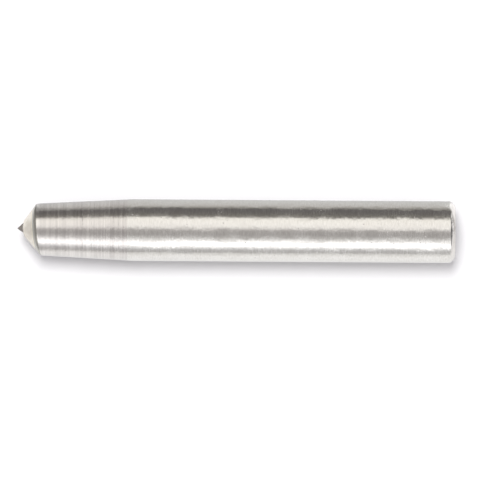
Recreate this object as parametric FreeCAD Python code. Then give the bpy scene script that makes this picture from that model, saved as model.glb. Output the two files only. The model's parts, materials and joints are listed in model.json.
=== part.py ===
"""Single-point diamond dresser: the tool that trues and cleans a grinding wheel.

A round steel shank is turned to a slim taper at its nose and drilled from the front. A sintered metal nib,
hot-pressed round a rough octahedral diamond, is brazed into that pocket. The nose is then ground to a blunt
cone by hand, through steel, braze and nib together, and the nib is lapped back until one corner of the
stone stands bare as the tool's point.

Frame: millimetres. The origin is the centre of the flat rear face and the shank lies along X, with its rear
end facing +X and the diamond point at the -X end. +Z is up as the tool lies on a bench.
"""

import FreeCAD, Part
import math
import os

from FreeCAD import Placement, Rotation, Vector

# ---------------------------------------------------------------- driving dimensions, in millimetres and degrees
SHANK_DIAMETER = 10.0
OVERALL_LENGTH = 71.0  # diamond point to rear face
REAR_CHAMFER = 0.7  # 45 degrees, on the rear edge

NOSE_DIAMETER = 8.43  # where the turned taper would meet the ground cone
TAPER_HALF_ANGLE = 2.95

CONE_HALF_ANGLE = 50.0  # the blunt cone that is ground on the nose
CONE_LEAN = (1.75, 3.0)  # it is ground freehand: going back, its axis leans this far to +Y and +Z ...
POINT_OFFSET = (0.14, 0.1)  # ... and the point stands this far off the shank's axis, to +Y and +Z
RIM_ROUNDING = 0.45  # radius of the rounded edge between cone and taper

POCKET_DIAMETER = 6.8
POCKET_DEPTH = 9.0  # from the point's plane to the end of the parallel bore
DRILL_POINT_ANGLE = 118.0
BRAZE_GAP = 0.1  # between nib and bore, all round
NIB_EDGE = 0.25  # chamfer on the nib's buried end
LIP_RADIUS = 1.4  # the nib's front lip, lapped back round the stone
LIP_HALF_ANGLE = 70.0

STONE_HALF_DIAGONAL = 2.2  # centre to corner of the octahedron, about a quarter carat
STONE_WEAR = 0.05  # how much is worn off each corner of the rough crystal
STONE_LEAN = (2.5, 2.5)  # the crystal is set by eye: its axis leans this far to +Y and +Z ...
STONE_TURN = 38.0  # ... and its edges are turned this far about that axis

# Turned marks on the taper: distance from the point's plane, width and depth of each shallow V.
TURNED_MARKS = (
    (10.65, 0.15, 0.03),
    (12.1, 0.12, 0.02),
    (14.9, 0.12, 0.02),
    (15.6, 0.14, 0.025),
    (16.5, 0.12, 0.02),
    (17.6, 0.12, 0.02),
)

# ---------------------------------------------------------------- worked out from the driving dimensions
SHANK_RADIUS = SHANK_DIAMETER / 2
NOSE_RADIUS = NOSE_DIAMETER / 2
POCKET_RADIUS = POCKET_DIAMETER / 2
NIB_RADIUS = POCKET_RADIUS - BRAZE_GAP
POINT_X = -OVERALL_LENGTH
CONE_LENGTH = NOSE_RADIUS / math.tan(math.radians(CONE_HALF_ANGLE))
TAPER_SLOPE = math.tan(math.radians(TAPER_HALF_ANGLE))
TAPER_END = CONE_LENGTH + (SHANK_RADIUS - NOSE_RADIUS) / TAPER_SLOPE

POINT = Vector(POINT_X, *POINT_OFFSET)
CENTRE = Vector(0, 0, 0)
X_AXIS = Vector(1, 0, 0)

# The shapes that stand for cuts overshoot the metal they remove.
CUT_LEAD = 1.0  # they start this far ahead of the point
CUT_RADIUS = NOSE_DIAMETER  # well outside the nose
CUT_LENGTH = 2 * CONE_LENGTH + CUT_LEAD  # well behind the rim of the ground cone
LONG_CONE = 40.0


def leaning(lean):
    """The way that points back along the tool, but leans by these angles towards +Y and +Z."""
    return Vector(1, *(math.tan(math.radians(angle)) for angle in lean)).normalize()


CONE_AXIS = leaning(CONE_LEAN)
STONE_AXIS = leaning(STONE_LEAN)


def behind_point(distance):
    """X of the plane that lies this far behind the point's plane."""
    return POINT_X + distance


def taper_radius(distance):
    """Radius of the turned taper, this far behind the point's plane."""
    return NOSE_RADIUS + (distance - CONE_LENGTH) * TAPER_SLOPE


def turned(outline):
    """A solid turned about the X axis from an outline of (x, radius) corners."""
    wire = Part.makePolygon([Vector(x, radius, 0) for x, radius in outline + outline[:1]])
    return Part.Face(wire).revolve(CENTRE, X_AXIS, 360)


# ---------------------------------------------------------------- the shank before it is drilled and ground
def shank_bar():
    """The turned bar: chamfered rear edge, parallel shank, taper with its turned marks, squared-off front."""
    outline = [
        (0, 0),
        (0, SHANK_RADIUS - REAR_CHAMFER),
        (-REAR_CHAMFER, SHANK_RADIUS),
        (behind_point(TAPER_END), SHANK_RADIUS),
    ]
    for distance, width, depth in reversed(TURNED_MARKS):
        rear = distance + width / 2
        front = distance - width / 2
        outline += [
            (behind_point(rear), taper_radius(rear)),
            (behind_point(distance), taper_radius(distance) - depth),
            (behind_point(front), taper_radius(front)),
        ]
    outline += [(POINT_X, taper_radius(0)), (POINT_X, 0)]
    return turned(outline)


# ---------------------------------------------------------------- the pocket and the nib that is brazed into it
def pocket():
    """The space that the drill leaves: a parallel bore with the drill's own conical bottom."""
    drill_tip = POCKET_RADIUS / math.tan(math.radians(DRILL_POINT_ANGLE / 2))
    return turned(
        [
            (POINT_X, 0),
            (POINT_X, POCKET_RADIUS),
            (behind_point(POCKET_DEPTH), POCKET_RADIUS),
            (behind_point(POCKET_DEPTH + drill_tip), 0),
        ]
    )


def nib_blank():
    """The pressed slug, a braze gap smaller than its bore, with a chamfered buried end."""
    return turned(
        [
            (POINT_X, 0),
            (POINT_X, NIB_RADIUS),
            (behind_point(POCKET_DEPTH - NIB_EDGE), NIB_RADIUS),
            (behind_point(POCKET_DEPTH), NIB_RADIUS - NIB_EDGE),
            (behind_point(POCKET_DEPTH), 0),
        ]
    )


# ---------------------------------------------------------------- the stone
def octahedron(half_diagonal):
    """A regular octahedron about the origin, with a corner along each way of the three axes."""
    near, far = -half_diagonal, half_diagonal
    faces = []
    for x in (near, far):
        for y in (near, far):
            for z in (near, far):
                corners = [Vector(x, 0, 0), Vector(0, y, 0), Vector(0, 0, z), Vector(x, 0, 0)]
                faces.append(Part.Face(Part.makePolygon(corners)))
    return Part.Solid(Part.makeShell(faces))


def diamond_stone():
    """A rough octahedron with worn corners, one of them forward as the tool's point."""
    worn_radius = STONE_HALF_DIAGONAL - STONE_WEAR
    crystal = octahedron(STONE_HALF_DIAGONAL).common(Part.makeSphere(worn_radius))
    set_in_nib = Rotation(X_AXIS, STONE_AXIS).multiply(Rotation(X_AXIS, STONE_TURN))
    crystal.Placement = Placement(POINT + STONE_AXIS * worn_radius, set_in_nib)
    return crystal


# ---------------------------------------------------------------- what grinding and lapping take off the nose
def nose_cone(half_angle, lead):
    """A long cone about the ground cone's axis, with its apex this far behind the point."""
    base_radius = LONG_CONE * math.tan(math.radians(half_angle))
    return Part.makeCone(0, base_radius, LONG_CONE, POINT + CONE_AXIS * lead, CONE_AXIS)


def lead_of(half_angle, radius):
    """How far behind the point a cone has its apex, if it crosses the ground cone at this radius."""
    ground = radius / math.tan(math.radians(CONE_HALF_ANGLE))
    return ground - radius / math.tan(math.radians(half_angle))


def ground_off():
    """The stock round the front end that the grinding wheel takes away."""
    stock = Part.makeCylinder(CUT_RADIUS, CUT_LENGTH, Vector(behind_point(-CUT_LEAD), 0, 0), X_AXIS)
    return stock.cut(nose_cone(CONE_HALF_ANGLE, 0))


def with_rounded_rim(shank):
    """The shank with the one wide edge at its front rounded over, where the cone meets the taper."""
    nose_end = behind_point(CUT_LENGTH)
    rim = [
        edge
        for edge in shank.Edges
        if edge.BoundBox.XMax < nose_end and edge.BoundBox.YLength > POCKET_DIAMETER + RIM_ROUNDING
    ]
    return shank.makeFillet(RIM_ROUNDING, rim)


def lapped_off():
    """The front of the nib's own cone that lapping takes away, to lay the stone's corner bare."""
    lip = nose_cone(LIP_HALF_ANGLE, lead_of(LIP_HALF_ANGLE, LIP_RADIUS))
    front = Part.makeCylinder(LIP_RADIUS, LIP_RADIUS + CUT_LEAD, POINT - CONE_AXIS * CUT_LEAD, CONE_AXIS)
    return front.cut(lip)


def main():
    swarf = ground_off()
    bore = pocket()
    slug = nib_blank()
    stone = diamond_stone()
    pieces = {
        "shank": with_rounded_rim(shank_bar().cut(bore).cut(swarf)),
        "braze_joint": bore.cut(slug).cut(swarf),
        "sintered_nib": slug.cut(swarf).cut(lapped_off()).cut(stone),
        "diamond": stone,
    }
    os.makedirs("parts", exist_ok=True)
    for name, shape in pieces.items():
        box = shape.BoundBox
        print(
            f"{name}: {len(shape.Solids)} solid, {shape.Volume:.3f} mm3, "
            f"x {box.XMin:.3f} to {box.XMax:.3f}, valid {shape.isValid()}"
        )
        shape.exportStep(f"parts/{name}.step")


main()
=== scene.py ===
# %% [markdown]
# # A single-point diamond dresser
# A dresser trues and cleans a grinding wheel: one rough diamond is moved across the spinning wheel and
# cuts it back to shape. The real tool is four pieces that never come apart: a steel shank, a
# pressed-metal nib, the silver braze that holds the nib in the shank, and the stone itself. This file
# gives each of them its looks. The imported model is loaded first, because every piece below takes its
# place in it.

# %% Load the frame
import json
import math

import bmesh
import bpy
from mathutils import Matrix, Vector, noise


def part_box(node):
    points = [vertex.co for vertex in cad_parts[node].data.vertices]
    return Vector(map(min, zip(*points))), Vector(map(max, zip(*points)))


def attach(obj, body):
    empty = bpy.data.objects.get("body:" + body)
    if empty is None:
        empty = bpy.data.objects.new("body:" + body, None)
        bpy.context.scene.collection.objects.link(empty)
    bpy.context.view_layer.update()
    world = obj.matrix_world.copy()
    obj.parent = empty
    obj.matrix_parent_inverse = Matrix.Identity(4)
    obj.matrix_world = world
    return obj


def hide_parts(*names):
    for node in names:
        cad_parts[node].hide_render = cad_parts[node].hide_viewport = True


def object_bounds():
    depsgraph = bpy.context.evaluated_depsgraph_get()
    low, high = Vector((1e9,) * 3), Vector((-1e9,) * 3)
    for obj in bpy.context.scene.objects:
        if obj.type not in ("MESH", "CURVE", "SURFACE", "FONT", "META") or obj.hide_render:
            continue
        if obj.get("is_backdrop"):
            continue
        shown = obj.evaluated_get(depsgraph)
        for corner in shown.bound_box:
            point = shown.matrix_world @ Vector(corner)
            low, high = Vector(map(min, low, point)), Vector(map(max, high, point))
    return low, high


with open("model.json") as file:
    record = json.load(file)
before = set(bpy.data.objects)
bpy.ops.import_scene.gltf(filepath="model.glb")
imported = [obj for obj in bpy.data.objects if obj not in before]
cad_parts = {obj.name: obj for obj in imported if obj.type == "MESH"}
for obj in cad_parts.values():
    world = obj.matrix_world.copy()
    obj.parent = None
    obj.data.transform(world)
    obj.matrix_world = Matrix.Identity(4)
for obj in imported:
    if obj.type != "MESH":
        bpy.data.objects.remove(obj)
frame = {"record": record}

cad_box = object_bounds()
print("CAD box in metres:", [list(corner) for corner in cad_box])

# %% [markdown]
# ## The camera
# The tool is looked at from straight above, so its outline reads like a drawing. A long lens far away
# keeps both ends at the same scale. The whole width that the lens covers is set by the tool's own length,
# and the tool lies a third of a degree out of square, as a thing that was put down by hand does.

# %% Camera
MM = 0.001
TOOL_LENGTH = cad_box[1].x - cad_box[0].x
LENGTHS_ACROSS = 1.0969  # the view's width over the tool's length
CAMERA_HEIGHT = 1.2
SENSOR_WIDTH = 36.0
FURTHEST_SEEN = 20  # metres, well past the backdrop
OUT_OF_SQUARE = math.radians(0.38)
AIM_PAST_MIDDLE = Vector((0.63, -1.50, 0)) * MM  # the view's centre, from the middle of the tool

middle = (cad_box[0] + cad_box[1]) / 2
camera = bpy.data.objects.new("camera", bpy.data.cameras.new("camera"))
camera.data.sensor_width = SENSOR_WIDTH
camera.data.lens = SENSOR_WIDTH * CAMERA_HEIGHT / (LENGTHS_ACROSS * TOOL_LENGTH)
camera.data.clip_end = FURTHEST_SEEN
camera.location = Vector((middle.x, 0, CAMERA_HEIGHT)) + AIM_PAST_MIDDLE
camera.rotation_euler = (0, 0, OUT_OF_SQUARE)
bpy.context.scene.collection.objects.link(camera)
bpy.context.scene.camera = camera
print(f"lens {camera.data.lens:.0f} mm, {CAMERA_HEIGHT} m above a tool {TOOL_LENGTH / MM:.1f} mm long")

# %% [markdown]
# ## Writing shaders as sums
# A finish is easier to read as a formula than as a tangle of nodes. This class wraps one socket: plus,
# minus, times and divide add Math nodes behind the scenes, and make() adds any other kind of node.
# Colours never go through Math nodes, because those turn a colour grey.


# %% A socket that does arithmetic
class Signal:
    """One socket in a node tree. Arithmetic on it adds Math nodes, and make() adds any other node."""

    def __init__(self, tree, socket=None):
        self.tree = tree
        self.socket = socket

    def make(self, kind, settings=None, inputs=None, output=0):
        """Adds a node: its settings first, then a value or a Signal for each input that is named."""
        node = self.tree.nodes.new(kind)
        for name, value in (settings or {}).items():
            if name == "stops":
                set_stops(node.color_ramp, value)
            else:
                setattr(node, name, value)
        for name, value in (inputs or {}).items():
            if isinstance(value, Signal):
                self.tree.links.new(value.socket, node.inputs[name])
            else:
                node.inputs[name].default_value = value
        return Signal(self.tree, node.outputs[output] if node.outputs else None)

    def also(self, name):
        """Another output of the same node."""
        return Signal(self.tree, self.socket.node.outputs[name])

    def math(self, operation, first, second=0.0):
        return self.make("ShaderNodeMath", {"operation": operation}, {0: first, 1: second})

    def __add__(self, other):
        return self.math("ADD", self, other)

    def __sub__(self, other):
        return self.math("SUBTRACT", self, other)

    def __rsub__(self, other):
        return self.math("SUBTRACT", other, self)

    def __mul__(self, other):
        return self.math("MULTIPLY", self, other)

    def __truediv__(self, other):
        return self.math("DIVIDE", self, other)

    __radd__ = __add__
    __rmul__ = __mul__


def set_stops(ramp, stops):
    """Gives a colour ramp these (place, colour) stops, in order."""
    for place, colour in stops[1:-1]:
        ramp.elements.new(place).color = (*colour, 1)
    for element, (place, colour) in ((ramp.elements[0], stops[0]), (ramp.elements[-1], stops[-1])):
        element.position = place
        element.color = (*colour, 1)


def new_finish(name):
    """An empty material and the Signal that its nodes grow from: the place on the object, in metres."""
    material = bpy.data.materials.new(name)
    material.use_nodes = True
    material.node_tree.nodes.clear()
    place = Signal(material.node_tree).make("ShaderNodeTexCoord").also("Object")
    return material, place


def between(signal, low, high, start=0.0, end=1.0):
    """The signal from low to high, stretched to run from start to end and held there outside."""
    limits = {"Value": signal, "From Min": low, "From Max": high, "To Min": start, "To Max": end}
    return signal.make("ShaderNodeMapRange", {}, limits)


def blend(share, one, other):
    """A colour that goes from one to the other as the share goes from 0 to 1."""
    return share.make("ShaderNodeMix", {"data_type": "RGBA"}, {0: share, 6: one, 7: other}, output=2)


print("Signal is ready: arithmetic on sockets makes Math nodes")

# %% [markdown]
# ## The bench and the light
# Bright metal has hardly any colour of its own: it shows what stands round it. So the light has two
# halves. The soft light that falls on the bench comes from one large lamp overhead and an even sky. What
# the metal mirrors is a light tent, a tube round the tool with bright silks and a dark gap, which only
# reflections can see. Keeping the two apart lets each be set without spoiling the other. Both need the
# same two helpers: one puts a piece of the stage in place, and one ends its material in plain light.

# %% Stage helpers
RAY_KINDS = ("camera", "diffuse", "glossy", "transmission", "shadow")
WHITE = (1, 1, 1, 1)


def stage_piece(name, shape, material, seen_by):
    """Turns a bmesh into a piece of the stage that only these kinds of ray can see."""
    mesh = bpy.data.meshes.new(name)
    shape.to_mesh(mesh)
    shape.free()
    mesh.materials.append(material)
    thing = bpy.data.objects.new(name, mesh)
    bpy.context.scene.collection.objects.link(thing)
    for ray in RAY_KINDS:
        setattr(thing, f"visible_{ray}", ray in seen_by)
    thing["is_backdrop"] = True


def glow(place, colour, strength):
    """Ends a stage material in plain emission."""
    light = place.make("ShaderNodeEmission", {}, {"Color": colour, "Strength": strength})
    place.make("ShaderNodeOutputMaterial", {}, {"Surface": light})


print("stage helpers ready")

# %% [markdown]
# ### The bench
# The tool lies on a wide sheet of matt white. Lamplight and shadow only matter near it, so further off
# the sheet fades into an even white. That keeps the horizon clean when the camera is low, and a round
# backdrop in the same white closes the view behind. Reflections don't see this sheet, because they have a
# card of their own further down.

# %% Bench
FLOOR_SIZE = 8.0
FLOOR_WHITE = (0.90, 0.90, 0.905, 1)
FLOOR_FADES = (0.15, 0.5)  # metres from the tool over which lamplight gives way to an even white

bench, place = new_finish("white_bench")
sheet = place.make("ShaderNodeBsdfDiffuse", {}, {"Color": FLOOR_WHITE})
even = place.make("ShaderNodeEmission", {}, {"Color": WHITE, "Strength": 1.0})
away = place.make("ShaderNodeVectorMath", {"operation": "LENGTH"}, {0: place}, output="Value")
surface = place.make("ShaderNodeMixShader", {}, {0: between(away, *FLOOR_FADES), 1: sheet, 2: even})
place.make("ShaderNodeOutputMaterial", {}, {"Surface": surface})
floor_height = cad_box[0].z
shape = bmesh.new()
bmesh.ops.create_grid(shape, size=FLOOR_SIZE / 2)
bmesh.ops.translate(shape, verts=shape.verts, vec=(middle.x, 0, floor_height))
stage_piece("bench", shape, bench, ("camera", "diffuse", "shadow", "transmission"))
print(f"bench at z = {floor_height / MM:.2f} mm")

# %% Backdrop
BACKDROP_RADIUS = 3.9
BACKDROP_HEIGHT = 4.0

backdrop, place = new_finish("white_backdrop")
glow(place, WHITE, 1.0)
shape = bmesh.new()
bmesh.ops.create_cone(
    shape, segments=64, radius1=BACKDROP_RADIUS, radius2=BACKDROP_RADIUS, depth=BACKDROP_HEIGHT
)
stage_piece("backdrop", shape, backdrop, ("camera",))
print("backdrop round the bench, seen by the camera only")

# %% [markdown]
# ### The light tent
# The tent is described by angle, as seen from the tool: 0 is straight up, positive turns towards the near
# side, and 90 is the horizon. On a round bar the mirrored angle is twice the slope's, so each silk
# becomes a long band. A feathered edge is two stops a few degrees apart. Past the ends of the silks there
# is a gap with a low light under it: the end faces and the chamfer mirror those.

# %% Light tent
TENT_RADIUS = 0.35
TENT_LENGTH = 1.2
TENT_STRENGTH = 2.6
TENT = (  # degrees from straight up, and the colour of the light there as a share of the strength
    (-180, (0.10, 0.10, 0.10)),
    (-95, (0.070, 0.066, 0.066)),
    (-72, (0.080, 0.076, 0.073)),
    (-55, (0.105, 0.100, 0.089)),
    (-45, (0.550, 0.535, 0.500)),
    (-22, (0.540, 0.526, 0.500)),
    (-13, (0.52, 0.507, 0.487)),
    (0, (0.222, 0.214, 0.207)),
    (16, (0.208, 0.201, 0.195)),
    (27, (0.292, 0.287, 0.278)),
    (36, (0.46, 0.453, 0.445)),
    (44, (0.72, 0.715, 0.71)),
    (59, (0.83, 0.826, 0.823)),
    (67, (0.50, 0.498, 0.496)),
    (76, (0.287, 0.286, 0.284)),
    (88, (0.26, 0.257, 0.252)),
    (180, (0.45, 0.445, 0.435)),
)
SILKS_END = (0.28, 0.34)  # metres along the tent where the silks fade out
END_LIGHT = (0.10, 0.17)  # metres above the tool where the low light at the tent's ends fades out
REAR_LIGHT = (0.61, 0.605, 0.60, 1)
POINT_LIGHT = (0.34, 0.337, 0.33, 1)
REAR_GAP = (0.08, 0.078, 0.078, 1)  # above the light, past the silks at the rear
POINT_GAP = (0.20, 0.196, 0.190, 1)  # and past them at the point's end

silks, place = new_finish("tent_silks")
apart = place.make("ShaderNodeSeparateXYZ", {}, {0: place})
towards_near = 0 - apart.also("Y")
turn = place.math("ARCTAN2", towards_near, apart.also("Z")) / math.tau + 0.5
colour = place.make(
    "ShaderNodeValToRGB", {"stops": [(angle / 360 + 0.5, tint) for angle, tint in TENT]}, {0: turn}
)
along = place.math("ABSOLUTE", apart.also("X") - middle.x)
at_rear = between(apart.also("X"), middle.x, cad_box[1].x)
low_light = blend(at_rear, POINT_LIGHT, REAR_LIGHT)
gap_above = blend(at_rear, POINT_GAP, REAR_GAP)
beyond = blend(between(apart.also("Z"), *END_LIGHT), low_light, gap_above)
glow(place, blend(between(along, *SILKS_END), colour, beyond), TENT_STRENGTH)
shape = bmesh.new()
bmesh.ops.create_cone(
    shape, cap_ends=True, segments=96, radius1=TENT_RADIUS, radius2=TENT_RADIUS, depth=TENT_LENGTH
)
bmesh.ops.rotate(shape, verts=shape.verts, matrix=Matrix.Rotation(math.radians(90), 3, "Y"))
bmesh.ops.translate(shape, verts=shape.verts, vec=(middle.x, 0, 0))
stage_piece("light_tent", shape, silks, ("glossy",))
print(f"tent {TENT_LENGTH} m long with {len(TENT)} stops round it")

# %% [markdown]
# ### The bench in reflections
# The metal also mirrors the bench it lies on, and this glowing card stands for the bench there, with the
# tool's shadow and the lamp's light painted on it. It has a painted shadow under the tool and is bright a
# few millimetres away. Beside the tool, painted shade makes the far side duller than the near one. In
# front of the point a painted pool of light is brightest close by and falls off to the sides, and by the
# rear face a painted patch of light keeps the far side bright. Each of these has its own brightness,
# and soft masks join them, so that no edge shows in the metal.

# %% Bench card
CARD_STRENGTH = 2.0
CARD_SIZE = 1.2
CARD_REACH = 170  # millimetres
# Painted shadow and light: a painted shadow under the tool, brighter a few millimetres away.
CARD_SHADE_AND_LIGHT = (  # millimetres from the tool's middle line, and the brightness there as a share of the strength
    (0, (0.06, 0.06, 0.06)),
    (4, (0.28, 0.28, 0.28)),
    (6, (0.50, 0.50, 0.497)),
    (11, (0.61, 0.61, 0.60)),
    (20, (0.655, 0.65, 0.64)),
    (35, (0.60, 0.595, 0.58)),
    (62, (0.54, 0.535, 0.52)),
    (170, (0.48, 0.475, 0.465)),
)
# Painted shade that dulls the far side beside the tool.
FAR_SIDE_SHADE = (  # the same distances, and how much duller the far side is
    (0, (0.80, 0.80, 0.80)),
    (6, (0.72, 0.72, 0.72)),
    (20, (0.63, 0.625, 0.615)),
    (35, (0.60, 0.59, 0.575)),
    (62, (0.46, 0.45, 0.43)),
    (170, (0.33, 0.32, 0.30)),
)
# A painted pool of light in front of the point, with painted shade right at it.
POINT_LIGHT_POOL = (  # the same distances, and the brightness in front of the point instead
    (0, (0.30, 0.30, 0.30)),
    (4, (0.70, 0.70, 0.695)),
    (8, (0.97, 0.97, 0.965)),
    (14, (0.86, 0.86, 0.85)),
    (25, (0.48, 0.475, 0.465)),
    (45, (0.36, 0.355, 0.345)),
    (170, (0.32, 0.315, 0.305)),
)
# A painted patch of light on the bench by the rear face.
REAR_LIGHT_PATCH = (0.79, 0.79, 0.78, 1)  # the bench by the rear face, on the far side
# Painted light and shade across the point: brightest just to its far side, darker further out.
LIGHT_ACROSS_POINT = (  # millimetres to the far side of the point, and the share of that brightness there
    (-85, (0.80, 0.80, 0.80)),
    (-2, (0.80, 0.80, 0.80)),
    (2, (1.0, 1.0, 1.0)),
    (7, (1.0, 1.0, 1.0)),
    (10, (0.36, 0.36, 0.36)),
    (30, (0.36, 0.36, 0.36)),
    (85, (0.80, 0.80, 0.80)),
)
# Where one part of the card gives way to the next, in metres:
FAR_SIDE_STARTS = (0.0, 4 * MM)  # beside the tool
ENDS_FADE = (0.0, 3 * MM)  # ahead of either end, where the far side stops being duller
FAR_OFF = (20 * MM, 45 * MM)  # from the tool, where the ends no longer matter
REAR_AHEAD, REAR_BESIDE = (0.0, 2 * MM), (2 * MM, 7 * MM)  # of the bright patch by the rear face
POINT_STARTS = (-3 * MM, 0.0)  # ahead of the point


def by_distance(distance, stops):
    """A colour that follows these (millimetres, colour) stops."""
    shares = [(reach / CARD_REACH, tint) for reach, tint in stops]
    return distance.make("ShaderNodeValToRGB", {"stops": shares}, {0: distance / (CARD_REACH * MM)})


def dim(share, colour, by):
    """The colour multiplied by another, in this share, which is a number or a Signal."""
    multiply = {"data_type": "RGBA", "blend_type": "MULTIPLY"}
    return colour.make("ShaderNodeMix", multiply, {0: share, 6: colour, 7: by}, output=2)


card, place = new_finish("painted_bench_card")
apart = place.make("ShaderNodeSeparateXYZ", {}, {0: place})
past_rear = apart.also("X") - cad_box[1].x
past_point = cad_box[0].x - apart.also("X")
ahead = place.math("MAXIMUM", place.math("MAXIMUM", past_rear, past_point), 0.0)
beside = apart.also("Y")
distance = place.math("SQRT", beside * beside + ahead * ahead)
far_off = between(distance, *FAR_OFF)
level_with_tool = between(ahead, *ENDS_FADE, 1.0, 0.0)
# Painted shade dulls the far side beside the tool.
far_side = between(beside, *FAR_SIDE_STARTS) * place.math("MAXIMUM", level_with_tool, far_off)
along_side = dim(far_side, by_distance(distance, CARD_SHADE_AND_LIGHT), by_distance(distance, FAR_SIDE_SHADE))
# A painted patch of light by the rear face.
at_rear = between(past_rear, *REAR_AHEAD) * between(beside, *REAR_BESIDE)
along_side = blend(at_rear * (1 - far_off), along_side, REAR_LIGHT_PATCH)
# A painted pool of light in front of the point.
at_point = between(past_point, *POINT_STARTS)
across = [((reach + CARD_REACH / 2) / CARD_REACH, tint) for reach, tint in LIGHT_ACROSS_POINT]
across = place.make("ShaderNodeValToRGB", {"stops": across}, {0: beside / (CARD_REACH * MM) + 0.5})
light_before_point = dim(1.0, by_distance(distance, POINT_LIGHT_POOL), across)
glow(place, blend(at_point, along_side, light_before_point), CARD_STRENGTH)
shape = bmesh.new()
bmesh.ops.create_grid(shape, size=CARD_SIZE / 2)
bmesh.ops.translate(shape, verts=shape.verts, vec=(middle.x, 0, floor_height))
stage_piece("painted_bench_card", shape, card, ("glossy",))
print(f"bench card for reflections, {len(card.node_tree.nodes)} nodes")

# %% [markdown]
# ### Lamp and sky
# One oval lamp gives the soft shadow on the near side. It is tilted over from the far side and hangs a
# little towards the point's end, so the shadow also reaches past the rear. It is wider across the tool
# than along it, because a wide lamp softens the long edge of the shadow most. The even sky, a touch
# violet, fills the shadow. Neither shows in the metal: the lamp is hidden from reflections, and the tent
# shuts the sky out.

# %% Lamp and sky
LAMP_TILT = math.radians(15.5)  # from straight up, towards the far side
LAMP_DISTANCE = 1.5
LAMP_SIZE = (0.46, 0.72)  # metres along and across the tool
LAMP_TO_POINT = 0.09  # how far it hangs towards the point's end
LAMP_POWER = 15.8
SKY = (0.605, 0.589, 0.610, 1)

lamp = bpy.data.objects.new("soft_lamp", bpy.data.lights.new("soft_lamp", "AREA"))
lamp.data.shape = "ELLIPSE"
lamp.data.size, lamp.data.size_y = LAMP_SIZE
lamp.data.energy = LAMP_POWER
to_far_side, up = math.sin(LAMP_TILT) * LAMP_DISTANCE, math.cos(LAMP_TILT) * LAMP_DISTANCE
lamp.location = (middle.x - LAMP_TO_POINT, to_far_side, up)
lamp.rotation_euler = (-LAMP_TILT, 0, 0)
lamp.visible_camera = False
lamp.visible_glossy = False
bpy.context.scene.collection.objects.link(lamp)

world = bpy.data.worlds.new("sky")
world.use_nodes = True
world.node_tree.nodes["Background"].inputs["Color"].default_value = SKY
bpy.context.scene.world = world
bpy.context.scene.view_settings.view_transform = "Standard"
print(f"lamp of {LAMP_POWER} W over a bench lit by an even sky")

# %% [markdown]
# ## Finishes
# ### Noise that is measured in millimetres
# Every finish below is built on soft noise. Real marks have a direction: drawing a bar leaves lines along
# it, and turning leaves rings round it. So the helper takes how many ripples fit in a millimetre along
# each axis. Reading the place in space, not an unwrapped map, leaves no seam round the bar.


# %% Noise helpers
def ripple(place, per_mm, detail=2.0, roughness=0.5):
    """Noise from 0 to 1 with this many ripples per millimetre along X, Y and Z."""
    scaled = place.make(
        "ShaderNodeVectorMath", {"operation": "MULTIPLY"}, {0: place, 1: [count / MM for count in per_mm]}
    )
    return place.make(
        "ShaderNodeTexNoise", {}, {"Vector": scaled, "Scale": 1.0, "Detail": detail, "Roughness": roughness}
    )


def specks(place, per_mm, core, edge):
    """Scattered spots: 1 inside the core, 0 past the edge, both as shares of the spots' spacing."""
    sizes = {"Vector": place, "Scale": per_mm / MM, "Randomness": 1.0}
    return between(place.make("ShaderNodeTexVoronoi", {}, sizes), core, edge, 1.0, 0.0)


def relief(place, height):
    """The surface's direction once this height, in millimetres, has been added to it."""
    return place.make("ShaderNodeBump", {}, {"Height": height, "Distance": MM, "Strength": 1.0})


def finish_with(place, **sockets):
    """Ends a material in one Principled shader. An underscore in a name stands for a space."""
    named = {name.replace("_", " "): value for name, value in sockets.items()}
    surface = place.make("ShaderNodeBsdfPrincipled", {}, named)
    place.make("ShaderNodeOutputMaterial", {}, {"Surface": surface})


print("noise helpers ready")

# %% [markdown]
# ### Drawn bar
# The shank is bright drawn bar, used as it comes. The die leaves faint lines along it. Handling and the
# straightening rolls leave shallow dapples and short scores, both wider round the bar than along it, and
# a few small pits. All of them are only hundredths of a millimetre deep, yet the dapples and scores
# matter most: they make the edges of the mirrored bands ragged, and without them the bar would look like
# chrome. Some patches were handled more than others, so one slow noise sets the strength of all the
# marks.


# %% Drawn steel
DULL_BAR, BRIGHT_BAR = (0.575, 0.56, 0.545, 1), (0.675, 0.665, 0.655, 1)
PIT_BROWN = (0.22, 0.20, 0.19, 1)
PITS_PER_MM = 1.1
DAPPLE_HEIGHT, SCORE_HEIGHT, WAVE_HEIGHT, DIE_LINE_HEIGHT = 0.018, 0.024, 0.008, 0.002  # millimetres
PIT_DEPTH = 0.02


def drawn_steel():
    """Bright drawn bar: die lines, dapples, scores and a few pits."""
    material, place = new_finish("drawn_steel")
    dapples = ripple(place, (2.6, 1.2, 1.2), detail=2.0, roughness=0.5)
    scores = ripple(place, (9.0, 1.2, 1.2), detail=2.0)
    waves = ripple(place, (0.35, 0.5, 0.5), detail=1.0)
    die_lines = ripple(place, (0.12, 6.0, 6.0), detail=2.0)
    patches = ripple(place, (0.35, 0.45, 0.45), detail=2.0)
    pits = specks(place, PITS_PER_MM, 0.04, 0.13) * between(patches, 0.48, 0.56)
    scuffed = between(patches, 0.42, 0.60, 0.35, 1.3)
    height = (dapples * DAPPLE_HEIGHT + scores * SCORE_HEIGHT) * scuffed
    height = height + waves * WAVE_HEIGHT + die_lines * DIE_LINE_HEIGHT - pits * PIT_DEPTH
    shade = between(patches * 0.4 + scores * 0.6, 0.35, 0.65)
    tone = blend(pits * 0.5, blend(shade, DULL_BAR, BRIGHT_BAR), PIT_BROWN)
    finish_with(
        place,
        Base_Color=tone,
        Metallic=1.0,
        Roughness=0.11 + scuffed * 0.02 + shade * 0.11 + pits * 0.2,
        Normal=relief(place, height),
    )
    return material


DRAWN = drawn_steel()
print(f"{DRAWN.name}: {len(DRAWN.node_tree.nodes)} nodes")
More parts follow.
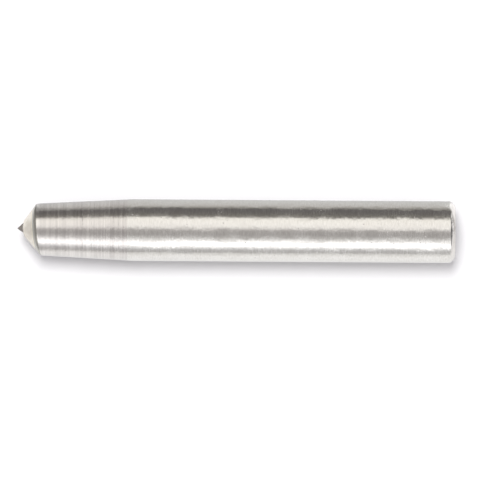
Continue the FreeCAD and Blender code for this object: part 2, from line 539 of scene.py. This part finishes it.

# %% [markdown]
# ### Turned steel
# The nose taper, the chamfer and the rear face were cut in a lathe. A turning tool leaves rings, so the
# noise runs along the tool's path: going back along the bar on the taper, and outwards on the rear face.
# Adding the radius to the place along the bar gives one measure that does both. The rear face is painted
# darker than the chamfer, partly because it was only cut to length and is duller, and partly as painted
# shade. The taper's front edge is painted brighter, partly as burnish from the grinding wheel and partly
# as a painted highlight.


# %% Turned steel
DULL_TURNED, BRIGHT_TURNED = (0.50, 0.478, 0.473, 1), (0.655, 0.635, 0.625, 1)
# Painted: the grey is duller cut steel and painted shade, the white is burnish and a painted highlight.
FACED_GREY_AND_SHADE, BURNISH_HIGHLIGHT_WHITE = (0.27, 0.26, 0.255, 1), (0.80, 0.785, 0.77, 1)
RING_HEIGHT, CHATTER_HEIGHT = 0.005, 0.045  # millimetres
FACED_AND_SHADED = (-0.06, -0.01)  # X in millimetres over which the chamfer gives way to the darker rear face: duller cut and painted shade
BURNISH_AND_HIGHLIGHT = (-67.9, -67.1)  # X in millimetres over which the taper's front edge is painted brighter: burnish and painted highlight


def turned_steel():
    """Lathe-cut steel: fine rings, some brighter and some duller."""
    material, place = new_finish("turned_steel")
    apart = place.make("ShaderNodeSeparateXYZ", {}, {0: place})
    flat = place.make("ShaderNodeCombineXYZ", {}, {"Y": apart.also("Y"), "Z": apart.also("Z")})
    radius = place.make("ShaderNodeVectorMath", {"operation": "LENGTH"}, {0: flat}, output="Value")
    path = apart.also("X") + radius
    along = place.make("ShaderNodeCombineXYZ", {}, {"X": path, "Y": apart.also("Y"), "Z": apart.also("Z")})
    rings = ripple(along, (2.6, 0.05, 0.05), detail=3.0, roughness=0.65)
    broad = ripple(along, (0.7, 0.05, 0.05), detail=1.0)
    chatter = ripple(place, (3.0, 0.9, 0.9), detail=3.0, roughness=0.6)
    height = rings * RING_HEIGHT + chatter * CHATTER_HEIGHT
    shade = between(rings * 0.6 + broad * 0.4, 0.34, 0.64)
    # Painted shade on the rear face and a painted highlight on the taper's front edge, each partly real.
    faced_and_shaded = between(apart.also("X"), FACED_AND_SHADED[0] * MM, FACED_AND_SHADED[1] * MM, 0.0, 0.55)
    burnish_and_highlight = between(apart.also("X"), BURNISH_AND_HIGHLIGHT[0] * MM, BURNISH_AND_HIGHLIGHT[1] * MM, 0.7, 0.0)
    tone = blend(faced_and_shaded, blend(shade, DULL_TURNED, BRIGHT_TURNED), FACED_GREY_AND_SHADE)
    finish_with(
        place,
        Base_Color=blend(burnish_and_highlight, tone, BURNISH_HIGHLIGHT_WHITE),
        Metallic=1.0,
        Roughness=0.15 + shade * 0.12,
        Normal=relief(place, height),
    )
    return material


TURNED = turned_steel()
print(f"{TURNED.name}: {len(TURNED.node_tree.nodes)} nodes")

# %% [markdown]
# ### Ground steel
# The end was held against a grinding wheel by hand and rolled. The scratches run round the cone, but they
# cross where the hand moved, and the surface is duller and greyer than the turned one.


# %% Ground steel
DARK_GROUND, LIGHT_GROUND = (0.31, 0.30, 0.28, 1), (0.42, 0.41, 0.385, 1)
SCRATCH_HEIGHT = 0.004  # millimetres


def ground_steel():
    """Hand-ground steel: short crossing scratches, dull and grey."""
    material, place = new_finish("ground_steel")
    scratches = ripple(place, (11.0, 2.0, 2.0), detail=3.0, roughness=0.7)
    crossing = ripple(place, (5.0, 9.0, 2.0), detail=2.0, roughness=0.6)
    marks = scratches * 0.6 + crossing * 0.4
    finish_with(
        place,
        Base_Color=blend(between(marks, 0.35, 0.65), DARK_GROUND, LIGHT_GROUND),
        Metallic=1.0,
        Roughness=0.28 + marks * 0.12,
        Normal=relief(place, marks * SCRATCH_HEIGHT),
    )
    return material


GROUND = ground_steel()
print(f"{GROUND.name}: {len(GROUND.node_tree.nodes)} nodes")

# %% [markdown]
# ### Silver braze
# The braze shows only as a hair-fine ring where the cone was ground through it. It is softer than steel,
# so it is smeared a little, and it is yellower. One noise, longer round the ring than across it, is
# enough.


# %% Silver braze
DARK_BRAZE, LIGHT_BRAZE = (0.60, 0.54, 0.42, 1), (0.74, 0.69, 0.58, 1)
SMEAR_HEIGHT = 0.003  # millimetres


def silver_braze():
    """Silver brazing alloy, ground flush: pale yellow and a little smeared."""
    material, place = new_finish("braze_alloy")
    smears = ripple(place, (6.0, 3.0, 3.0), detail=2.0)
    finish_with(
        place,
        Base_Color=blend(smears, DARK_BRAZE, LIGHT_BRAZE),
        Metallic=1.0,
        Roughness=0.3 + smears * 0.15,
        Normal=relief(place, smears * SMEAR_HEIGHT),
    )
    return material


BRAZE = silver_braze()
print(f"{BRAZE.name}: {len(BRAZE.node_tree.nodes)} nodes")

# %% [markdown]
# ### Pressed nib
# The nib is metal powder, hot-pressed round the stone. It stays slightly porous, so it looks matt, warm
# and sandy beside the steel. Two sizes of grain and a scatter of dark pores are enough to tell it apart.


# %% Sintered metal
DARK_NIB, LIGHT_NIB = (0.55, 0.505, 0.445, 1), (0.65, 0.615, 0.565, 1)
GRAIN_SILVER, PORE_BROWN = (0.74, 0.72, 0.68, 1), (0.22, 0.19, 0.16, 1)
PORES_PER_MM = 7.0
GRAIN_HEIGHT = 0.006  # millimetres, and the depth of a pore


def sintered_metal():
    """Hot-pressed metal powder: warm, matt and finely porous."""
    material, place = new_finish("pressed_metal")
    grains = ripple(place, (9.0, 9.0, 9.0), detail=3.0, roughness=0.6)
    clouds = ripple(place, (1.4, 1.4, 1.4), detail=2.0)
    pores = specks(place, PORES_PER_MM, 0.12, 0.26)
    tone = blend(between(clouds, 0.35, 0.65), DARK_NIB, LIGHT_NIB)
    tone = blend(between(grains, 0.42, 0.62, 0.0, 0.35), tone, GRAIN_SILVER)
    finish_with(
        place,
        Base_Color=blend(pores * 0.6, tone, PORE_BROWN),
        Metallic=0.9,
        Roughness=0.40 + pores * 0.2,
        Normal=relief(place, grains * GRAIN_HEIGHT - pores * GRAIN_HEIGHT),
    )
    return material


SINTERED = sintered_metal()
print(f"{SINTERED.name}: {len(SINTERED.node_tree.nodes)} nodes")

# %% [markdown]
# ### Industrial diamond
# Dresser stones are bort: grey-brown, cloudy and full of flaws, not gems. Light still enters, so the
# stone is part transparent, with diamond's high index for its hard glint. The faces carry faint growth
# lines.


# %% Rough diamond
DARK_STONE, LIGHT_STONE = (0.11, 0.088, 0.074, 1), (0.26, 0.218, 0.185, 1)
DIAMOND_IOR = 2.42
CLARITY = 0.3  # the share of light that passes through
GROWTH_HEIGHT = 0.002  # millimetres


def rough_diamond():
    """Industrial diamond: cloudy grey-brown, with a hard glint and faint growth lines."""
    material, place = new_finish("rough_diamond")
    clouds = ripple(place, (1.6, 1.6, 1.6), detail=3.0, roughness=0.6)
    lines = ripple(place, (1.5, 7.0, 7.0), detail=2.0)
    finish_with(
        place,
        Base_Color=blend(between(clouds, 0.3, 0.7), DARK_STONE, LIGHT_STONE),
        Roughness=0.16 + lines * 0.12,
        IOR=DIAMOND_IOR,
        Transmission_Weight=CLARITY,
        Normal=relief(place, lines * GROWTH_HEIGHT),
    )
    return material


DIAMOND = rough_diamond()
print(f"{DIAMOND.name}: {len(DIAMOND.node_tree.nodes)} nodes")

# %% [markdown]
# ## Geometry of the nose
# All four pieces were ground through together, so they share one cone. It was ground freehand: its axis
# leans a little, and its point stands a little off the shank's axis. Every ring of the nose is therefore
# made round the shank first and then dropped along X onto this leaned cone. These are the design's own
# sizes, in millimetres, and the CAD pieces are measured against them further down.

# %% Nose sizes
mounts = {mount["name"]: mount for mount in frame["record"]["mounts"]}
SHANK_RADIUS = mounts["shank"]["dims"]["r_mm"]
POINT_OFFSET = (0.14, 0.1)  # from the shank's axis, to +Y and +Z
POINT = Vector((cad_box[0].x / MM, *POINT_OFFSET))
CONE_HALF_ANGLE = math.radians(50)
LEAN_SIDE, LEAN_UP = math.radians(1.75), math.radians(3.0)
CONE_AXIS = Vector((1, math.tan(LEAN_SIDE), math.tan(LEAN_UP))).normalized()
NOSE_RADIUS = 4.215  # where the taper would meet the ground cone
TAPER_HALF_ANGLE = math.radians(2.95)
TAPER_SLOPE = math.tan(TAPER_HALF_ANGLE)
CONE_LENGTH = NOSE_RADIUS / math.tan(CONE_HALF_ANGLE)
TAPER_END = CONE_LENGTH + (SHANK_RADIUS - NOSE_RADIUS) / TAPER_SLOPE


def behind_point(distance):
    """X of the plane that lies this far behind the point."""
    return POINT.x + distance


def taper_radius(x):
    """Radius of the turned taper at this x."""
    return NOSE_RADIUS + (x - behind_point(CONE_LENGTH)) * TAPER_SLOPE


def on_cone(y, z, half_angle=CONE_HALF_ANGLE, lead=0.0):
    """X of a cone about the ground cone's axis, with its apex this far behind the point, over (y, z)."""
    apex = POINT + CONE_AXIS * lead
    side = Vector((0, y - apex.y, z - apex.z))
    lean = side.dot(CONE_AXIS)
    share = math.cos(half_angle) ** 2
    square = CONE_AXIS.x**2 - share
    half_linear = CONE_AXIS.x * lean
    constant = lean**2 - share * side.length_squared
    return apex.x + (math.sqrt(half_linear**2 - square * constant) - half_linear) / square


print(f"taper from {CONE_LENGTH:.2f} to {TAPER_END:.2f} mm behind the point")

# %% [markdown]
# ## Turning pieces by spinning
# Every piece but the stone is round, so each starts as an outline of a few points and is spun about the X
# axis, as a lathe would make it. A full spin with use_merge closes the seam, and merging doubles closes
# the poles. Work is done in millimetres, where bmesh's merging distances make sense, and scaled at the
# end.

# %% Spinning helpers
ORIGIN = Vector((0, 0, 0))
X_AXIS = Vector((1, 0, 0))
SEGMENTS = 256
CLOSE = 1e-4  # millimetres: two places nearer than this are the same


def spun(outline):
    """Turns an outline of (x, radius) points once round the X axis into a closed skin."""
    skin = bmesh.new()
    points = [skin.verts.new((x, 0, radius)) for x, radius in outline]
    line = [skin.edges.new(pair) for pair in zip(points, points[1:])]
    bmesh.ops.spin(
        skin, geom=points + line, cent=ORIGIN, axis=X_AXIS, angle=math.tau, steps=SEGMENTS, use_merge=True
    )
    bmesh.ops.remove_doubles(skin, verts=skin.verts, dist=CLOSE)
    bmesh.ops.recalc_face_normals(skin, faces=skin.faces)
    return skin


def radius_of(vert):
    return math.hypot(vert.co.y, vert.co.z)


def ring(skin, x, radius):
    """The vertices of one spun ring."""
    return [v for v in skin.verts if abs(v.co.x - x) < CLOSE and abs(radius_of(v) - radius) < CLOSE]


def edges_among(verts):
    """The edges that join these vertices to each other."""
    chosen = set(verts)
    return [edge for edge in {e for v in verts for e in v.link_edges} if set(edge.verts) <= chosen]


def round_over(skin, edges, offset, segments):
    """Rounds these edges over."""
    bmesh.ops.bevel(
        skin, geom=edges, offset=offset, segments=segments, profile=0.5, affect="EDGES", material=-1
    )


print(f"spinning with {SEGMENTS} segments")

# %% [markdown]
# A piece is finished the same way each time: scaled to metres, shaded smooth except at real edges, joined
# to the tool's body, and put in the place of its CAD node, which is hidden. The printed line says whether
# the skin is closed and how far its box is from the CAD's.

# %% Finishing helpers
SHARP = math.radians(30)


def off_cad(mesh, node):
    """How far, in millimetres, a corner of the mesh's box is from the same corner of its CAD node's box."""
    ends = [Vector([pick(v.co[axis] for v in mesh.vertices) for axis in range(3)]) for pick in (min, max)]
    return max((end - corner).length for end, corner in zip(ends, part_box(node))) / MM


def finish_piece(name, skin, finishes, node):
    """Makes the object for a skin in millimetres, and puts it in the place of its CAD node."""
    bmesh.ops.scale(skin, verts=skin.verts, vec=(MM, MM, MM))
    for face in skin.faces:
        face.smooth = True
    open_edges = sum(not edge.is_manifold for edge in skin.edges)
    mesh = bpy.data.meshes.new(name)
    skin.to_mesh(mesh)
    skin.free()
    mesh.set_sharp_from_angle(angle=SHARP)
    for finish in finishes:
        mesh.materials.append(finish)
    thing = bpy.data.objects.new(name, mesh)
    bpy.context.scene.collection.objects.link(thing)
    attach(thing, "root")
    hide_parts(node)
    print(
        f"{name}: {len(mesh.polygons)} faces, {open_edges} open edges, "
        f"box within {off_cad(mesh, node):.3f} mm of CAD"
    )
    return thing


print("every piece is scaled, shaded, placed and named by finish_piece")

# %% [markdown]
# ## The shank
# The outline goes from the rear face, over the chamfer, along the bar, down the taper and over the cone
# into the pocket. The taper gets a point every tenth of a millimetre, so that its turning marks are real:
# a fine ripple everywhere, and a few deeper rings where the tool dwelt. Short steps beside each edge keep
# the smooth shading from spreading over the long straight faces.

# %% Turned marks
MARKS = ((10.65, 0.15, 0.03), (12.1, 0.12, 0.02), (14.9, 0.12, 0.02), (15.6, 0.14, 0.025))
MARKS += ((16.5, 0.12, 0.02), (17.6, 0.12, 0.02))  # distance behind the point, width and depth
FEED = 0.1  # spacing of the points along the taper
RIPPLE_DEPTH = 0.0022
RIPPLES_PER_MM = 3.7
TAPER_START = 4.7  # the first full ring behind the leaned rim
TURNED_END = 17.9  # behind this the taper is rubbed as smooth as the bar


def mark_depth(distance):
    """How deep the dwell rings are at this distance behind the point."""
    return sum(max(0.0, 1 - abs(distance - place) / (width / 2)) * depth for place, width, depth in MARKS)


def taper_outline():
    """(x, radius) points of the taper, from its wide end to its narrow end."""
    count = round((TAPER_END - TAPER_START) / FEED)
    places = {TAPER_START + index * (TAPER_END - TAPER_START) / count for index in range(count)}
    for place, width, _ in MARKS:
        places = {other for other in places if abs(other - place) > width / 2 + FEED / 3}
        places |= {place - width / 2, place, place + width / 2}
    outline = []
    for distance in sorted(places, reverse=True):
        x = behind_point(distance)
        fade = min(1.0, TAPER_END - distance)
        wave = noise.noise(Vector((distance * RIPPLES_PER_MM, 0.5, 0.5))) * RIPPLE_DEPTH * fade
        outline.append((x, taper_radius(x) + wave - mark_depth(distance)))
    return outline


print(f"{len(taper_outline())} points along the taper")

# %% Shank skin
CHAMFER = 0.7
HOLD = 0.3  # length of the short steps beside an edge
POCKET_RADIUS = 3.4
POCKET_DEPTH = 9.0
DRILL_HALF_ANGLE = math.radians(59)
DRILL_TIP = POCKET_RADIUS / math.tan(DRILL_HALF_ANGLE)
FACE_RADIUS = SHANK_RADIUS - CHAMFER
FACE_RINGS = (0, 1.5, 3.0, FACE_RADIUS - HOLD, FACE_RADIUS)
BAR_STEPS = 24

taper_x = behind_point(TAPER_END)
rear_outline = [(0, radius) for radius in FACE_RINGS]
rear_outline += [(-CHAMFER, SHANK_RADIUS), (-CHAMFER - HOLD, SHANK_RADIUS)]
bar_outline = [(taper_x * (step / BAR_STEPS), SHANK_RADIUS) for step in range(1, BAR_STEPS)]
bar_outline += [(taper_x + HOLD, SHANK_RADIUS), (taper_x, SHANK_RADIUS)]
rim_x = behind_point(CONE_LENGTH)
mouth_x = on_cone(0, POCKET_RADIUS)
nose_outline = [(rim_x, NOSE_RADIUS), (mouth_x, POCKET_RADIUS)]
pocket_outline = [(behind_point(POCKET_DEPTH), POCKET_RADIUS), (behind_point(POCKET_DEPTH + DRILL_TIP), 0)]
shank = spun(rear_outline + bar_outline + taper_outline() + nose_outline + pocket_outline)
print(f"shank spun: {len(shank.verts)} vertices")

# %% [markdown]
# The spin gives a straight nose, so the rim and the pocket's mouth are now moved onto the leaned cone.
# The rim has to lie on the cone and on the taper at once, and going back and forth between the two a few
# times finds that place. Then the real edges are rounded over with bevel. The first faces of the taper
# are longer on the side where the rim lies further forward, so they are divided along their length.

# %% Shank edges
RIM_ROUNDS = 4  # how often the rim goes back and forth between cone and taper
RIM_SOFTNESS, RIM_STEPS = 0.27, 6  # how far a rounding reaches on each side of its edge, and its faces
FACE_SOFTNESS, FACE_STEPS = 0.1, 4  # between rear face and chamfer
BAR_SOFTNESS, CHAMFER_STEPS = 0.28, 5  # between chamfer and bar
NOSE_CUTS = 8

rim = ring(shank, rim_x, NOSE_RADIUS)
for _ in range(RIM_ROUNDS):
    for vert in rim:
        vert.co.x = on_cone(vert.co.y, vert.co.z)
        vert.co.yz = vert.co.yz * (taper_radius(vert.co.x) / radius_of(vert))
for vert in ring(shank, mouth_x, POCKET_RADIUS):
    vert.co.x = on_cone(vert.co.y, vert.co.z)
round_over(shank, edges_among(rim), RIM_SOFTNESS, RIM_STEPS)
round_over(shank, edges_among(ring(shank, 0, FACE_RADIUS)), FACE_SOFTNESS, FACE_STEPS)
round_over(shank, edges_among(ring(shank, -CHAMFER, SHANK_RADIUS)), BAR_SOFTNESS, CHAMFER_STEPS)
front_x = behind_point(TAPER_START)
long_edges = [
    edge
    for edge in shank.edges
    if min(v.co.x for v in edge.verts) < front_x - CLOSE < max(v.co.x for v in edge.verts)
    and max(radius_of(v) for v in edge.verts) > POCKET_RADIUS + CLOSE
]
bmesh.ops.subdivide_edges(shank, edges=long_edges, cuts=NOSE_CUTS, use_grid_fill=True)
print(f"rim rounded, {len(long_edges)} long edges divided")

# %% [markdown]
# One piece of steel has three finishes, so each face is given its own by place. A face of the ground cone
# is known by its slope, the drawn bar lies between the last turned ring and the chamfer, and the lathe
# cut all the rest.

# %% Shank finishes
GROUND_SLOPE = 0.3  # a face of the nose that looks further forward or back than this was ground
ON_BAR, ON_TURNED, ON_GROUND = range(3)

for face in shank.faces:
    centre = face.calc_center_median()
    radius = math.hypot(centre.y, centre.z)
    on_nose = centre.x < behind_point(TAPER_START) and abs(face.normal.x) > GROUND_SLOPE
    on_bar = behind_point(TURNED_END) < centre.x < -CHAMFER and radius > POCKET_RADIUS
    face.material_index = ON_GROUND if on_nose else ON_BAR if on_bar else ON_TURNED
finish_piece("steel_shank", shank, (DRAWN, TURNED, GROUND), "shank")

# %% [markdown]
# ## The stone
# A rough diamond is an octahedron, and a ball with four segments and two rings is exactly that. Each face
# gets three growth steps, thin plates that stop short of the edges, and edges and corners are worn. The
# stone is set by eye, so it is turned about its own axis and leans a little before it moves into the nib.

# %% Stone
STONE_HALF_DIAGONAL = 2.2
STONE_WEAR = 0.05
STONE_LEAN = math.radians(2.5)
STONE_TURN = math.radians(38)
GROWTH_STEPS = 3
STEP_MARGIN = 0.16
STEP_HEIGHT = 0.008
RIDGE_WEAR, RIDGE_STEPS = 0.06, 2

stone = bmesh.new()
bmesh.ops.create_uvsphere(stone, u_segments=4, v_segments=2, radius=STONE_HALF_DIAGONAL)
plates = list(stone.faces)
for _ in range(GROWTH_STEPS):
    bmesh.ops.inset_individual(stone, faces=plates, thickness=STEP_MARGIN, depth=0)
    bmesh.ops.inset_individual(stone, faces=plates, thickness=STEP_HEIGHT, depth=-STEP_HEIGHT)
corners = [vert for vert in stone.verts if vert.co.length > STONE_HALF_DIAGONAL - CLOSE]
ridges = [edge for edge in stone.edges if set(edge.verts) <= set(corners)]
round_over(stone, ridges, RIDGE_WEAR, RIDGE_STEPS)
tips = [vert for vert in stone.verts if vert.co.length > STONE_HALF_DIAGONAL - 2 * STONE_WEAR]
for vert in tips:
    vert.co = vert.co.normalized() * min(vert.co.length, STONE_HALF_DIAGONAL - STONE_WEAR)
stone_axis = Vector((1, math.tan(STONE_LEAN), math.tan(STONE_LEAN))).normalized()
lean = X_AXIS.rotation_difference(stone_axis).to_matrix()
turn = Matrix.Rotation(STONE_TURN, 3, "X")
bmesh.ops.rotate(stone, verts=stone.verts, cent=ORIGIN, matrix=lean @ turn)
to_nib = POINT + stone_axis * (STONE_HALF_DIAGONAL - STONE_WEAR)
bmesh.ops.translate(stone, verts=stone.verts, vec=to_nib)
diamond = finish_piece("rough_stone", stone, (DIAMOND,), "diamond")

# %% [markdown]
# ## The nib
# The nib is a plug with a conical front. Round the stone the cone is lapped back to a shallow lip. Its
# rings are moved sideways onto the cone's own axis and then dropped onto whichever cone lies further
# back.

# %% Nib skin
NIB_RADIUS = 3.3
NIB_EDGE = 0.25
LIP_RADIUS = 1.4
LIP_HALF_ANGLE = math.radians(70)
LIP_LEAD = LIP_RADIUS / math.tan(CONE_HALF_ANGLE) - LIP_RADIUS / math.tan(LIP_HALF_ANGLE)
FRONT_RINGS = (0.4, 0.75, 1.0, 1.2, LIP_RADIUS, 1.6, 2.0, 2.4, 2.8, 3.15, NIB_RADIUS)

nib_back = behind_point(POCKET_DEPTH)
front_outline = [(POINT.x, radius) for radius in (0.0,) + FRONT_RINGS]
back_outline = [(nib_back - NIB_EDGE, NIB_RADIUS), (nib_back, NIB_RADIUS - NIB_EDGE), (nib_back, 0)]
nib = spun(front_outline + back_outline)
for vert in nib.verts:
    if vert.co.x > POINT.x + CLOSE:
        continue
    inner = max(0.0, 1 - max(0.0, radius_of(vert) - LIP_RADIUS) / (NIB_RADIUS - LIP_RADIUS))
    vert.co.y += POINT.y * inner
    vert.co.z += POINT.z * inner
    lip_x = on_cone(vert.co.y, vert.co.z, LIP_HALF_ANGLE, LIP_LEAD)
    vert.co.x = max(on_cone(vert.co.y, vert.co.z), lip_x)
print(f"nib spun: {len(nib.verts)} vertices")

# %% [markdown]
# The powder was pressed round the stone, so the stone's own shape is cut out of the nib with a boolean.
# Such a cut leaves a few edges far shorter than a hair and faces with many corners. Merging the ends of
# the one and dividing the other into triangles leaves a clean, closed skin.

# %% Nib cut to the stone
SLIVER = 0.001  # millimetres: edges of the cut that are shorter than this are closed up

nib_object = finish_piece("pressed_nib", nib, (SINTERED,), "sintered_nib")
cut = nib_object.modifiers.new("stone_seat", "BOOLEAN")
cut.operation = "DIFFERENCE"
cut.solver = "EXACT"
cut.object = diamond
graph = bpy.context.evaluated_depsgraph_get()
seated = bpy.data.meshes.new_from_object(nib_object.evaluated_get(graph))
nib_object.modifiers.clear()
nib_object.data = seated
skin = bmesh.new()
skin.from_mesh(seated)
bmesh.ops.remove_doubles(skin, verts=skin.verts, dist=SLIVER * MM)
bmesh.ops.triangulate(skin, faces=skin.faces)
open_edges = sum(not edge.is_manifold for edge in skin.edges)
skin.to_mesh(seated)
skin.free()
seated.set_sharp_from_angle(angle=SHARP)
print(
    f"nib with the stone's seat: {len(seated.polygons)} faces, {open_edges} open edges, "
    f"box within {off_cad(seated, 'sintered_nib'):.3f} mm of CAD"
)

# %% [markdown]
# ## The braze
# The braze is a thin cup: it fills the gap round the nib and the drill's cone under it. Its outline
# starts and ends on the axis, so the spin closes it, and its open edge is dropped onto the ground cone.

# %% Braze
brazed = [(behind_point(POCKET_DEPTH + DRILL_TIP), 0), (nib_back, POCKET_RADIUS), (mouth_x, POCKET_RADIUS)]
brazed += [(mouth_x, NIB_RADIUS), (nib_back - NIB_EDGE, NIB_RADIUS), (nib_back, NIB_RADIUS - NIB_EDGE)]
braze = spun(brazed + [(nib_back, 0)])
for vert in ring(braze, mouth_x, POCKET_RADIUS) + ring(braze, mouth_x, NIB_RADIUS):
    vert.co.x = on_cone(vert.co.y, vert.co.z)
finish_piece("braze_cup", braze, (BRAZE,), "braze_joint")

# %% [markdown]
# ## Sizes
# Both boxes, the CAD model's and the visual model's, are printed side by side. The visual model
# may not outgrow the CAD model.

# %% Sizes and finish
visual_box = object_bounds()
boxes = {"cad": [list(corner) for corner in cad_box], "visual": [list(corner) for corner in visual_box]}
for name, box in boxes.items():
    print(f"{name} box in millimetres:", [[round(value / MM, 3) for value in corner] for corner in box])
